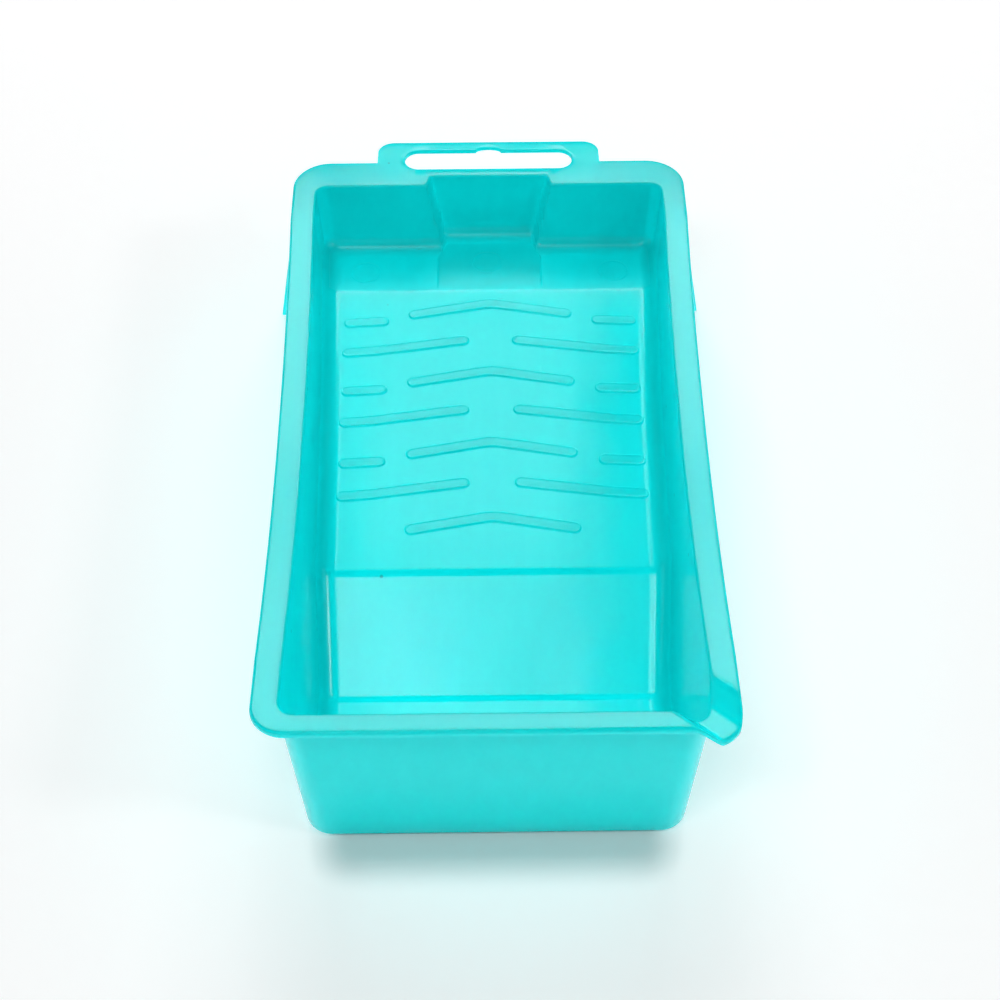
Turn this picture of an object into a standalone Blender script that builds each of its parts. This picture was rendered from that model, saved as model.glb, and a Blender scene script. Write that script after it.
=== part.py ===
"""A small roller tray, moulded in one piece of polypropylene.

X runs across the tray, +Y from the deep pouring end to the hanging tab, +Z up.
The origin is at the bottom centre of the bounding box. Lengths are in metres.
"""

import math

import bmesh
import bpy

MM = 0.001

# Driving dimensions
FLOOR_THICK = 1.6 * MM
WALL = 2.2 * MM
WALL_GAIN = -0.010
FLANGE_THICK = 1.8 * MM
LIP_DROP = 2.6 * MM
DRAFT = 0.075
FRONT_DRAFT = 0.076
BACK_DRAFT = 0.089

HALF_FLOOR = 62.0 * MM
FRONT_Y = -136.6 * MM
BACK_Y = 116.0 * MM
FRONT_RADIUS = 5.5 * MM
BACK_RADIUS = 4.5 * MM
FLOOR_CORNER_SHARE = 0.3
OUTER_CORNER_GAIN = 1.5 * MM
FILLET = 7.0 * MM
BASE_FILLET = 2.2 * MM
RIM_ROUND = 0.8 * MM
LIP_ROUND = 0.9 * MM
LIP_FOOT_WIDTH = 1.3 * MM
LIP_WIDTH = 1.6 * MM

WAIST_Y = -8.9 * MM
WAIST_SPAN = 144.0 * MM
WAIST_BOW = 2.6 * MM
WAIST_LEAN = 0.8 * MM

RIM_Z = 70.8 * MM
RIM_RISE = 6.0 * MM
RISE_START_Y = -38.9 * MM
RISE_END_Y = -148.9 * MM
SIDE_FLANGE = 9.3 * MM
FRONT_FLANGE = 8.4 * MM
BACK_FLANGE = 15.1 * MM
FRONT_FLANGE_RADIUS = 11.5 * MM
BACK_FLANGE_RADIUS = 15.0 * MM

WELL_Z = FLOOR_THICK
SLOPE_FOOT_Y = -82.6 * MM
SLOPE_HEAD_Y = -44.0 * MM
SLOPE_HEAD_Z = 26.8 * MM
LANDING_Y = 92.8 * MM
LANDING_Z = 40.5 * MM
STRIP_HALF = 21.0 * MM
STRIP_RISE = 0.5 * MM
STRIP_Y = 97.8 * MM

BAY_HALF_TOP = 24.5 * MM
BAY_HALF_FOOT = 18.5 * MM
BAY_DEPTH_TOP = 5.8 * MM
BAY_DEPTH_FOOT = 7.6 * MM
BAY_SIDE = 1.6 * MM
BAY_SPREAD = 0.75

TAB_HALF = 45.2 * MM
TAB_LENGTH = 13.0 * MM
TAB_RADIUS = 6.5 * MM
SLOT_HALF = 34.0 * MM
SLOT_NEAR_Y = 133.0 * MM
SLOT_FAR_Y = 144.4 * MM
NOTCH_HALF = 5.0 * MM
NOTCH_RISE = 2.0 * MM

RIB_WIDTH = 5.0 * MM
RIB_HEIGHT = 0.7 * MM
RIB_ROOT = 0.5 * MM
RIB_ROW_Y = 80.0 * MM
RIB_PITCH = 17.5 * MM
CHEVRON_HALF = 30.2 * MM
CHEVRON_RISE = 5.6 * MM
LONG_INNER = (11.0 * MM, 3.6 * MM)
LONG_BEND = (46.0 * MM, -1.4 * MM)
LONG_OUTER = (56.2 * MM, -2.1 * MM)
SHORT_INNER = (42.9 * MM, -3.5 * MM)
SHORT_OUTER = (55.8 * MM, -4.2 * MM)

# The spout runs out along the diagonal x + y = SPOUT_LINE at the front right corner
SPOUT_LINE = -73.3 * MM
SPOUT_TOP_HALF = 9.6 * MM
SPOUT_FLOOR_HALF = 4.4 * MM
SPOUT_DIP = 6.8 * MM
SPOUT_NOSE = 1.4 * MM
SPOUT_BEHIND = 150.0 * MM

LEG_WALL = 1.8 * MM
LEG_TOP_HALF = 77.4 * MM
LEG_SPLAY = 11.6 * MM
LEG_TOP_BACK_Y = 134.3 * MM
LEG_RADIUS = 13.0 * MM
LEG_FRONT_TOP_Y = 107.1 * MM
LEG_FRONT_FOOT_Y = 123.1 * MM
LEG_END_TOP_X = 42.0 * MM
LEG_END_FOOT_X = 52.0 * MM

# Resolution of the shell
CORNER_STEPS = 7
SIDE_ROWS = [-119, -101, -82.6, -44, -8, 30, 62, 92.8, 104]
WELL_ROW = 2
LANDING_ROW = 7
END_COLUMNS = [0, 17.2, 19.8, 21.5, 23.2, 25.8, 38.7, 42, 44.4, 45.2, 45.4]
BLEND_STEPS = [k / 7 for k in range(1, 7)]
WALL_SHARES = (0.35, 0.7, 1.0)


def clamp01(value):
    return min(1.0, max(0.0, value))


def smooth(value):
    t = clamp01(value)
    return t * t * (3 - 2 * t)


def waist(y):
    """How much wider the tray is at y than at its waist."""
    t = (y - WAIST_Y) / WAIST_SPAN
    return WAIST_BOW * t * t + WAIST_LEAN * t


def rim_height(y):
    t = clamp01((RISE_START_Y - y) / (RISE_START_Y - RISE_END_Y))
    return RIM_Z + RIM_RISE * t * t


def floor_height(y):
    """The top face of the well, the slope, the ramp and the landing."""
    if y <= SLOPE_FOOT_Y:
        return WELL_Z
    if y <= SLOPE_HEAD_Y:
        t = (y - SLOPE_FOOT_Y) / (SLOPE_HEAD_Y - SLOPE_FOOT_Y)
        return WELL_Z + t * (SLOPE_HEAD_Z - WELL_Z)
    t = clamp01((y - SLOPE_HEAD_Y) / (LANDING_Y - SLOPE_HEAD_Y))
    return SLOPE_HEAD_Z + t * (LANDING_Z - SLOPE_HEAD_Z)


def under_height(y):
    """The under face, one floor thickness below the top face."""
    return max(0.0, floor_height(y) - FLOOR_THICK)


def bay_push(x, z, offset):
    """The extra depth of the bay in the middle of the back wall, on a face offset outwards."""
    t = clamp01((z - LANDING_Z) / (RIM_Z - LANDING_Z))
    half = BAY_HALF_FOOT + t * (BAY_HALF_TOP - BAY_HALF_FOOT)
    half += BAY_SPREAD * max(offset, 0.0)
    depth = BAY_DEPTH_FOOT + t * (BAY_DEPTH_TOP - BAY_DEPTH_FOOT)
    return depth * smooth((half + BAY_SIDE / 2 - abs(x)) / BAY_SIDE)


def tab_push(x):
    """How far the hanging tab's outline stands out from the back flange."""
    if abs(x) > TAB_HALF:
        return 0.0
    inset = max(0.0, abs(x) - (TAB_HALF - TAB_RADIUS))
    return TAB_LENGTH - TAB_RADIUS + math.sqrt(TAB_RADIUS**2 - inset**2)


def spout_weight(x, y):
    """1 on the spout's floor at the front right corner, 0 beyond the tops of its sides."""
    if x - y < SPOUT_BEHIND:
        return 0.0
    across = abs(x + y - SPOUT_LINE) / math.sqrt(2)
    return clamp01((SPOUT_TOP_HALF - across) / (SPOUT_TOP_HALF - SPOUT_FLOOR_HALF))


def spouted(make, share=1.0, nose=0.0):
    """A loop with the spout pressed into it; make(dip) gives the loop lowered by dip."""
    plain = make(0.0)
    low = make(SPOUT_DIP * share)
    points = []
    for a, b in zip(plain, low):
        weight = spout_weight(a[0], a[1])
        out = nose * weight / math.sqrt(2)
        x, y, z = (p + weight * (q - p) for p, q in zip(a, b))
        points.append((x + out, y - out, z))
    return points


def arc(cx, cy, radius, start):
    steps = [start + math.pi / 2 * k / CORNER_STEPS for k in range(CORNER_STEPS + 1)]
    return [(cx + radius * math.cos(a), cy + radius * math.sin(a)) for a in steps]


def settled(distance, height, y):
    """The y of an end face whose distance depends on the height there."""
    for _ in range(4):
        y = distance(height(y))
    return y


def ring(half, front, back, radii, height, back_push):
    """One closed loop of points round the tray, anticlockwise from the front right.

    half, front and back give the loop's three distances at a height, radii its
    front and back corners, and height gives z at a point's y, so that the loop
    follows the floor or the rim.
    """
    front_radius, back_radius = (max(r, 1.0 * MM) for r in radii)
    rows = [y * MM for y in SIDE_ROWS]
    columns = [x * MM for x in END_COLUMNS]
    first, last = rows[0], rows[-1]
    front_y = settled(front, height, first)
    back_y = settled(back, height, last)
    front_x = half(height(front_y + front_radius)) + waist(first) - front_radius
    back_x = half(height(back_y)) + waist(last) - back_radius
    front_start = front_y + front_radius
    back_start = back_y - back_radius
    rows = (
        [front_start + t * (first - front_start) for t in BLEND_STEPS]
        + rows
        + [last + t * (back_start - last) for t in BLEND_STEPS]
    )

    def end(x_last):
        right = columns + [columns[-1] + t * (x_last - columns[-1]) for t in BLEND_STEPS]
        return [-x for x in reversed(right[1:])] + right

    def side(y):
        return half(height(y)) + waist(min(max(y, first), last))

    points = [(side(y), y) for y in rows]
    points += arc(back_x, back_start, back_radius, 0)
    points += [(x, back_y + back_push(x, height(back_y))) for x in reversed(end(back_x))]
    points += arc(-back_x, back_start, back_radius, math.pi / 2)
    points += [(-side(y), y) for y in reversed(rows)]
    points += arc(-front_x, front_start, front_radius, math.pi)
    points += [(x, front_y) for x in end(front_x)]
    points += arc(front_x, front_start, front_radius, math.pi * 3 / 2)
    return [(x, y, height(y)) for x, y in points]


def wall_ring(offset, height, gain=0.0):
    """A loop on the drafted wall, offset outwards from the inner face.

    The outer face leans out by gain less or more than the inner one, and its corners
    are rounder. Towards the floor the inner corners close up a little.
    """
    turn = max(offset, 0.0) + FLOOR_CORNER_SHARE * min(offset, 0.0)
    if gain:
        turn += OUTER_CORNER_GAIN
    return ring(
        lambda z: HALF_FLOOR + z * (DRAFT + gain) + offset,
        lambda z: FRONT_Y - z * FRONT_DRAFT - offset,
        lambda z: BACK_Y + z * BACK_DRAFT + offset,
        (FRONT_RADIUS + turn, BACK_RADIUS + turn),
        height,
        lambda x, z: bay_push(x, z, offset),
    )


def outline_ring(inset, height):
    """A loop on the flange's outer outline, with the hanging tab."""
    return ring(
        lambda z: HALF_FLOOR + RIM_Z * DRAFT + SIDE_FLANGE - inset,
        lambda z: FRONT_Y - RIM_Z * FRONT_DRAFT - FRONT_FLANGE + inset,
        lambda z: BACK_Y + RIM_Z * BACK_DRAFT + BACK_FLANGE - inset,
        (FRONT_FLANGE_RADIUS - inset, BACK_FLANGE_RADIUS - inset),
        height,
        lambda x, z: tab_push(x),
    )


def mixed(inner, outer, share):
    return [
        tuple(p + share * (q - p) for p, q in zip(a, b)) for a, b in zip(inner, outer)
    ]


def rim(drop, dip):
    return lambda y: rim_height(y) - drop - dip


def fillet_loops(offset, radius, floor, steps, gain=0.0):
    """Loops round the fillet between the floor and the wall, from the floor up."""
    loops = []
    for k in range(steps, -1, -1):
        a = math.pi / 2 * k / steps
        inward = radius * (1 - math.cos(a))
        rise = radius * (1 - math.sin(a))
        loops.append(wall_ring(offset - inward, lambda y, rise=rise: floor(y) + rise, gain))
    return loops


def wall_loops(offset, floor, base, top_drop, gain=0.0):
    """The wall's loops between its floor fillet and the rim."""
    loops = []
    for share in WALL_SHARES:

        def make(dip, share=share):
            def height(y):
                low = floor(y) + base
                return low + share * (rim_height(y) - top_drop - low) - dip

            return wall_ring(offset, height, gain)

        loops.append(spouted(make, share))
    return loops


def flange_loops():
    """The inner edge's rounding, the flange, its lip and its under face."""
    loops = []
    for offset, drop in ((0.3 * RIM_ROUND, 0.3 * RIM_ROUND), (RIM_ROUND, 0.0)):
        loops.append(spouted(lambda dip: wall_ring(offset, rim(drop, dip))))
    for share in (0.33, 0.67, 1.0):

        def top(dip, share=share):
            inner = wall_ring(RIM_ROUND, rim(0.0, dip))
            return mixed(inner, outline_ring(LIP_ROUND, rim(0.0, dip)), share)

        loops.append(spouted(top, nose=SPOUT_NOSE * share))
    lip = (
        (0.3 * LIP_ROUND, 0.3 * LIP_ROUND),
        (0.0, LIP_ROUND),
        (0.0, LIP_DROP),
        (LIP_FOOT_WIDTH, LIP_DROP),
        (LIP_WIDTH, FLANGE_THICK),
    )
    for inset, drop in lip:
        loops.append(spouted(lambda dip: outline_ring(inset, rim(drop, dip)), nose=SPOUT_NOSE))
    for share in (0.67, 0.33):

        def under(dip, share=share):
            inner = wall_ring(WALL, rim(FLANGE_THICK, dip), WALL_GAIN)
            return mixed(inner, outline_ring(LIP_WIDTH, rim(FLANGE_THICK, dip)), share)

        loops.append(spouted(under, nose=SPOUT_NOSE * share))
    return loops


def shell_loops():
    """All the loops from the floor's edge, up the inside, over the rim and down."""
    loops = fillet_loops(0.0, FILLET, floor_height, 5)
    loops += wall_loops(0.0, floor_height, FILLET, RIM_ROUND)
    loops += flange_loops()
    loops += wall_loops(WALL, under_height, BASE_FILLET, FLANGE_THICK, WALL_GAIN)[::-1]
    loops += fillet_loops(WALL, BASE_FILLET, under_height, 2, WALL_GAIN)[::-1]
    return loops


def add_floor(bm, loop, upward):
    """Fills a loop: one face for the well, one for the landing, strips between them."""
    side_count = len(SIDE_ROWS) + 2 * len(BLEND_STEPS)
    end_count = 2 * (len(END_COLUMNS) + len(BLEND_STEPS)) - 1
    arc_count = CORNER_STEPS + 1
    left_start = side_count + 2 * arc_count + end_count
    well = len(BLEND_STEPS) + WELL_ROW
    landing = len(BLEND_STEPS) + LANDING_ROW

    def left(k):
        return left_start + side_count - 1 - k

    faces = [loop[left(well) :] + loop[: well + 1]]
    faces.append(loop[landing : left(landing) + 1])
    for k in range(well, landing):
        faces.append([loop[k], loop[k + 1], loop[left(k + 1)], loop[left(k)]])
    for face in faces:
        bm.faces.new(face if upward else face[::-1])


def build_shell():
    bm = bmesh.new()
    loops = [[bm.verts.new(p) for p in loop] for loop in shell_loops()]
    for low, high in zip(loops, loops[1:]):
        for k in range(len(low)):
            n = (k + 1) % len(low)
            bm.faces.new((low[k], high[k], high[n], low[n]))
    add_floor(bm, loops[0], True)
    add_floor(bm, loops[-1], False)
    return bm


def build_strip():
    """The middle of the ramp, which runs on a little further and into the bay."""
    wall_foot = BACK_Y + LANDING_Z * BACK_DRAFT
    top = LANDING_Z + STRIP_RISE
    narrow = BAY_HALF_FOOT - BAY_SIDE / 2
    stations = (
        (LANDING_Y - 1.0 * MM, STRIP_HALF, floor_height(LANDING_Y - 1.0 * MM) - 0.05 * MM),
        (STRIP_Y, STRIP_HALF, top),
        (wall_foot - 0.4 * MM, STRIP_HALF, top),
        (wall_foot + 0.6 * MM, narrow, top),
        (wall_foot + BAY_DEPTH_FOOT + WALL / 2, narrow, top),
    )
    bm = bmesh.new()
    frames = []
    for y, half, z in stations:
        low = LANDING_Z - 0.3 * FLOOR_THICK
        corners = ((-half, low), (half, low), (half, z), (-half, z))
        frames.append([bm.verts.new((x, y, height)) for x, height in corners])
    for near, far in zip(frames, frames[1:]):
        for k in range(4):
            n = (k + 1) % 4
            bm.faces.new((near[k], far[k], far[n], near[n]))
    bm.faces.new(frames[0])
    bm.faces.new(frames[-1][::-1])
    bmesh.ops.recalc_face_normals(bm, faces=bm.faces)
    return bm


def extrude_outline(bm, outline, bottom, top):
    """A closed prism over an anticlockwise outline, its two faces set by functions."""
    low = [bm.verts.new((x, y, bottom(x, y))) for x, y in outline]
    high = [bm.verts.new((x, y, top(x, y))) for x, y in outline]
    bm.faces.new(low[::-1])
    bm.faces.new(high)
    for k in range(len(outline)):
        n = (k + 1) % len(outline)
        bm.faces.new((low[k], low[n], high[n], high[k]))


def bar_outline(path, width):
    """The outline of a bar with round ends along a path of two or three points."""
    half = width / 2
    outline = []
    for run in (path, path[::-1]):
        for k, (x, y) in enumerate(run):
            before = run[max(k - 1, 0)]
            after = run[min(k + 1, len(run) - 1)]
            heading = math.atan2(after[1] - before[1], after[0] - before[0])
            if k == 0:
                turns = (-math.pi * 5 / 6, -math.pi * 2 / 3, -math.pi / 2)
            elif k == len(run) - 1:
                turns = (-math.pi / 2, -math.pi / 3, -math.pi / 6)
            else:
                turns = (-math.pi / 2,)
            for turn in turns:
                a = heading + turn
                outline.append((x + half * math.cos(a), y + half * math.sin(a)))
    return outline


def rib_paths():
    """The ribs' centre lines: chevrons in every second row, long and short ribs beside."""
    paths = []
    for row in range(7):
        y = RIB_ROW_Y - row * RIB_PITCH
        chevron_row = row % 2 == 0
        if chevron_row:
            ends = [(s * CHEVRON_HALF, y) for s in (-1, 1)]
            paths.append([ends[0], (0.0, y + CHEVRON_RISE), ends[1]])
        if row == 6:
            continue
        for s in (-1, 1):
            spans = (SHORT_INNER, SHORT_OUTER) if chevron_row else (LONG_INNER, LONG_BEND, LONG_OUTER)
            run = [(s * x, y + rise) for x, rise in spans]
            paths.append(run if s > 0 else run[::-1])
    return paths


def build_ribs():
    bm = bmesh.new()
    for path in rib_paths():
        extrude_outline(
            bm,
            bar_outline(path, RIB_WIDTH),
            lambda x, y: floor_height(y) - RIB_ROOT,
            lambda x, y: floor_height(y) + RIB_HEIGHT,
        )
    return bm


def leg_line(low, inset):
    """A leg's plan line at the top or at the foot, from the side round to the back."""
    spread = LEG_SPLAY if low else 0.0
    half = LEG_TOP_HALF + spread - inset
    back = LEG_TOP_BACK_Y + spread - inset
    radius = LEG_RADIUS + spread / 2 - inset
    start = LEG_FRONT_FOOT_Y if low else LEG_FRONT_TOP_Y
    end = LEG_END_FOOT_X if low else LEG_END_TOP_X
    corner = [(half - radius, back - radius)]
    points = [(half, start), (half, (start + corner[0][1]) / 2)]
    points += arc(*corner[0], radius, 0)
    points += [(end + (half - radius - end) / 2, back), (end, back)]
    return points


def build_leg(side):
    """One splayed leg: a curved strip under the flange round a back corner."""
    top = RIM_Z - FLANGE_THICK / 2
    lines = [
        [(x, y, top) for x, y in leg_line(False, 0.0)],
        [(x, y, top) for x, y in leg_line(False, LEG_WALL)],
        [(x, y, 0.0) for x, y in leg_line(True, LEG_WALL)],
        [(x, y, 0.0) for x, y in leg_line(True, 0.0)],
    ]
    bm = bmesh.new()
    verts = [[bm.verts.new((side * x, y, z)) for x, y, z in line] for line in lines]
    for k in range(4):
        a, b = verts[k], verts[(k + 1) % 4]
        for n in range(len(a) - 1):
            bm.faces.new((a[n], b[n], b[n + 1], a[n + 1]))
    bm.faces.new([line[0] for line in verts][::-1])
    bm.faces.new([line[-1] for line in verts])
    bmesh.ops.recalc_face_normals(bm, faces=bm.faces)
    return bm


def slot_outline():
    """The hanging slot, with a notch for a peg in the middle of its far side."""
    radius = (SLOT_FAR_Y - SLOT_NEAR_Y) / 2
    middle = (SLOT_FAR_Y + SLOT_NEAR_Y) / 2
    outline = arc(SLOT_HALF - radius, middle, radius, -math.pi / 2)
    outline += arc(SLOT_HALF - radius, middle, radius, 0)[1:]
    for k in range(7):
        a = math.pi * k / 6
        x = NOTCH_HALF * math.cos(a)
        outline.append((x, SLOT_FAR_Y + NOTCH_RISE * math.sin(a)))
    outline += arc(radius - SLOT_HALF, middle, radius, math.pi / 2)
    outline += arc(radius - SLOT_HALF, middle, radius, math.pi)[1:]
    return outline


def build_slot():
    bm = bmesh.new()
    extrude_outline(
        bm,
        slot_outline(),
        lambda x, y: RIM_Z - 10 * MM,
        lambda x, y: RIM_Z + 10 * MM,
    )
    return bm


def to_object(name, bm):
    bm.normal_update()
    mesh = bpy.data.meshes.new(name)
    bm.to_mesh(mesh)
    bm.free()
    obj = bpy.data.objects.new(name, mesh)
    bpy.context.collection.objects.link(obj)
    return obj


def to_cutter(name, bm):
    """A guide for a Boolean, left out of the model."""
    obj = to_object(name, bm)
    obj.hide_render = True
    obj.display_type = "WIRE"
    return obj


def add_boolean(obj, tool, operation):
    modifier = obj.modifiers.new(tool.name, "BOOLEAN")
    modifier.object = tool
    modifier.operation = operation
    modifier.solver = "EXACT"


def tray_material():
    material = bpy.data.materials.new("turquoise_polypropylene")
    material.use_nodes = True
    shader = material.node_tree.nodes["Principled BSDF"]
    shader.inputs["Base Color"].default_value = (0.02, 0.60, 0.60, 1.0)
    shader.inputs["Roughness"].default_value = 0.28
    shader.inputs["Metallic"].default_value = 0.0
    return material


def main():
    for obj in list(bpy.data.objects):
        bpy.data.objects.remove(obj, do_unlink=True)
    tray = to_object("tray", build_shell())
    add_boolean(tray, to_cutter("strip_tool", build_strip()), "UNION")
    add_boolean(tray, to_cutter("ribs_tool", build_ribs()), "UNION")
    add_boolean(tray, to_cutter("right_leg_tool", build_leg(1)), "UNION")
    add_boolean(tray, to_cutter("left_leg_tool", build_leg(-1)), "UNION")
    add_boolean(tray, to_cutter("slot_tool", build_slot()), "DIFFERENCE")
    tray.data.materials.append(tray_material())
    tray.data.shade_smooth()
    tray.data.set_sharp_from_angle(angle=math.radians(35))


main()
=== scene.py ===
"""A small roller tray in turquoise polypropylene, with its studio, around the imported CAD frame."""

import math

import bmesh
import bpy
from mathutils import Matrix, Vector


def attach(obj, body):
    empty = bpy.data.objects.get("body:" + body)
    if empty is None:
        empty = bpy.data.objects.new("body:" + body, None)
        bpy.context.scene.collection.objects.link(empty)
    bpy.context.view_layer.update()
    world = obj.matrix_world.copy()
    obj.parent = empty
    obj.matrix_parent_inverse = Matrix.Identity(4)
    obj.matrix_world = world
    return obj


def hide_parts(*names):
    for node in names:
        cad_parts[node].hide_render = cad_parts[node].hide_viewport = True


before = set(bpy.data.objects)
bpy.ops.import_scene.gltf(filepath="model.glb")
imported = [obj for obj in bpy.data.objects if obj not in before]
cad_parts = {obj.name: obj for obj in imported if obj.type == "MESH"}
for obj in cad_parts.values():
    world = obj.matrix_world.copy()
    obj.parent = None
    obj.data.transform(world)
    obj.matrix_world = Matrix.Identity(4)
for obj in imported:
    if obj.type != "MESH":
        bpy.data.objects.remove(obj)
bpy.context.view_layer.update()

MM = 0.001

# The tray's driving dimensions, those of its CAD model
FLOOR_THICK = 1.6 * MM
WALL = 2.2 * MM
WALL_GAIN = -0.010
FLANGE_THICK = 1.8 * MM
LIP_DROP = 2.6 * MM
DRAFT = 0.075
FRONT_DRAFT = 0.076
BACK_DRAFT = 0.089
HALF_FLOOR = 62.0 * MM
FRONT_Y = -136.6 * MM
BACK_Y = 116.0 * MM
FRONT_RADIUS = 5.5 * MM
BACK_RADIUS = 4.5 * MM
FLOOR_CORNER_SHARE = 0.3
OUTER_CORNER_GAIN = 1.5 * MM
FILLET = 7.0 * MM
BASE_FILLET = 2.2 * MM
WAIST_Y = -8.9 * MM
WAIST_SPAN = 144.0 * MM
WAIST_BOW = 2.6 * MM
WAIST_LEAN = 0.8 * MM
RIM_Z = 70.8 * MM
RIM_RISE = 6.0 * MM
RISE_START_Y = -38.9 * MM
RISE_END_Y = -148.9 * MM
SIDE_FLANGE = 9.3 * MM
FRONT_FLANGE = 8.4 * MM
BACK_FLANGE = 15.1 * MM
FRONT_FLANGE_RADIUS = 11.5 * MM
BACK_FLANGE_RADIUS = 15.0 * MM
WELL_Z = FLOOR_THICK
SLOPE_FOOT_Y = -82.6 * MM
SLOPE_HEAD_Y = -44.0 * MM
SLOPE_HEAD_Z = 26.8 * MM
LANDING_Y = 92.8 * MM
LANDING_Z = 40.5 * MM
BAY_HALF_TOP = 24.5 * MM
BAY_HALF_FOOT = 18.5 * MM
BAY_DEPTH_TOP = 5.8 * MM
BAY_DEPTH_FOOT = 7.6 * MM
BAY_SIDE = 1.6 * MM
BAY_SPREAD = 0.75
TAB_HALF = 45.2 * MM
TAB_LENGTH = 13.0 * MM
TAB_RADIUS = 6.5 * MM
SLOT_HALF = 34.0 * MM
SLOT_NEAR_Y = 133.0 * MM
SLOT_FAR_Y = 144.4 * MM
NOTCH_HALF = 5.0 * MM
NOTCH_RISE = 2.0 * MM
RIB_WIDTH = 5.0 * MM
RIB_HEIGHT = 0.7 * MM
RIB_ROW_Y = 80.0 * MM
RIB_PITCH = 17.5 * MM
RIB_ROWS = 7
CHEVRON_HALF = 30.2 * MM
CHEVRON_RISE = 5.6 * MM
LONG_INNER = (11.0 * MM, 3.6 * MM)
LONG_BEND = (46.0 * MM, -1.4 * MM)
LONG_OUTER = (56.2 * MM, -2.1 * MM)
SHORT_INNER = (42.9 * MM, -3.5 * MM)
SHORT_OUTER = (55.8 * MM, -4.2 * MM)
SPOUT_AXIS = -73.3 * MM
SPOUT_TOP_HALF = 9.6 * MM
SPOUT_FLOOR_HALF = 4.4 * MM
SPOUT_DIP = 6.8 * MM
SPOUT_NOSE = 1.3 * MM
LEG_WALL = 1.8 * MM
LEG_TOP_HALF = 77.4 * MM
LEG_SPLAY = 11.6 * MM
LEG_TOP_BACK_Y = 134.3 * MM
LEG_RADIUS = 13.0 * MM
LEG_FRONT_TOP_Y = 107.1 * MM
LEG_FRONT_FOOT_Y = 123.1 * MM
LEG_END_TOP_X = 42.0 * MM
LEG_END_FOOT_X = 52.0 * MM

# Fine detail of the moulding
RIM_ROUND = 0.8 * MM
LIP_ROUND = 0.9 * MM
LIP_FOOT_ROUND = 0.4 * MM
LIP_FOOT_WIDTH = 1.3 * MM
LIP_WIDTH = 1.6 * MM
UNDER_ROUND = 1.2 * MM
SLOT_ROUND = 0.7 * MM
SLOT_OVERCUT = 4.0 * MM
RIB_BEND_REACH = 3.0 * MM
LEG_EDGE = 0.35 * MM
LEG_LEVELS = 12
SPOUT_BEHIND = 150.0 * MM
PIN_MARKS = [(-50.4 * MM, 104.0 * MM), (50.4 * MM, 104.0 * MM), (-1.0 * MM, 109.3 * MM)]
STRIP_HALF = 21.0 * MM
STRIP_RISE = 0.5 * MM
STRIP_Y = 97.8 * MM
STRIP_EDGE = 1.0 * MM

# An ejector pin's witness line: (radius in mm, height in mm)
PIN_SECTION = [(6.3, -0.02), (6.1, 0.10), (5.85, 0.14), (5.6, 0.10), (5.4, 0.04), (5.0, 0.03)]
PIN_SIDES = 48

# A rib's section from its foot inwards: (inset in mm, share of the height)
RIB_SECTION = [(-0.2, -0.05), (-0.1, 0.03), (0.02, 0.2), (0.14, 0.55), (0.24, 0.82), (0.36, 0.96)]
RIB_SECTION += [(0.5, 1.0), (0.66, 0.98), (0.85, 0.88), (1.05, 0.84), (1.5, 0.86), (2.1, 0.88)]

# Colours and gloss of the plastic
PIGMENT = (0.003, 0.89, 0.91, 1.0)
PIGMENT_DEEP = (0.0015, 0.88, 0.90, 1.0)
PIGMENT_PALE = (0.006, 0.94, 0.955, 1.0)
WORN = (0.12, 0.94, 0.95, 1.0)
SPECK = (0.01, 0.16, 0.17, 1.0)
GLOSS_LOW = 0.08
GLOSS_HIGH = 0.14

# The studio's floor, and the patch of it under the tray's front that doesn't glow: a painted contact
# shadow
STUDIO_HALF = 14.0
GLOW = 0.42
PAINTED_SHADOW_FADE_END = 19.0 * MM
PAINTED_SHADOW_EDGE = 2.0 * MM
PAINTED_SHADOW_MIDDLE = (0.0, -132.0 * MM, 0.0)
PAINTED_SHADOW_HALF = (48.0 * MM, 11.0 * MM, 0.0)

# The world's strength, which falls with the height of the direction looked in
HORIZON_FADE = {"From Min": 0.2, "From Max": 0.32, "To Min": 0.44, "To Max": 0.03}

# The softboxes' distances, in metres
PANEL_HEIGHT = 1.4
LAMP_DISTANCE = 1.4
FILL_DISTANCE = 1.5
FILL_SIZE = (1.2, 0.5)

# The camera: its place in front of the tray, and how far it looks down, right and leans
CAMERA_PLACE = Vector((-2.43, -511.3, 586.1)) * MM
CAMERA_PITCH = 0.839068
CAMERA_YAW = 0.010471
CAMERA_ROLL = -0.002682
CAMERA_LENS = 72.04

# Resolution of the shell's mesh
CORNER_STEPS = 20
LEAST_RADIUS = 1.0 * MM
PATH_STEP = 2.5 * MM
SHARP_ANGLE = math.radians(38)
BLEND = [k / 13 for k in range(1, 13)]
SIDE_ROWS = [-119, -113, -107, -101, -95, -89, -84.2, -82.6, -81, -75, -69, -63, -57, -51, -45.6]
SIDE_ROWS += [-44, -42.4, -36, -28, -20, -12, -4, 4, 12, 20, 28, 36, 44, 52, 60, 68, 76, 84]
SIDE_ROWS += [91.2, 92.8, 94.4, 99, 103]
END_COLUMNS = [0, 3, 6, 9, 12, 15, 16.5, 17.5, 18.5, 19.5, 20.5, 21.5, 22.5, 23.3, 24.1, 24.9]
END_COLUMNS += [25.7, 27, 30, 33, 36, 38.7, 40.2, 41.6, 42.8, 43.8, 44.6, 45.1, 45.25, 46.5]


def clamp01(value):
    return min(1.0, max(0.0, value))


def smooth(value):
    t = clamp01(value)
    return t * t * (3 - 2 * t)


def eased(t, ease=0.12):
    """A straight ramp from 0 to 1 whose two ends are rounded off."""
    if t <= -ease:
        return 0.0
    if t < ease:
        return (t + ease) ** 2 / (4 * ease)
    if t <= 1 - ease:
        return t
    if t < 1 + ease:
        return 1 - (1 + ease - t) ** 2 / (4 * ease)
    return 1.0


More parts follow.
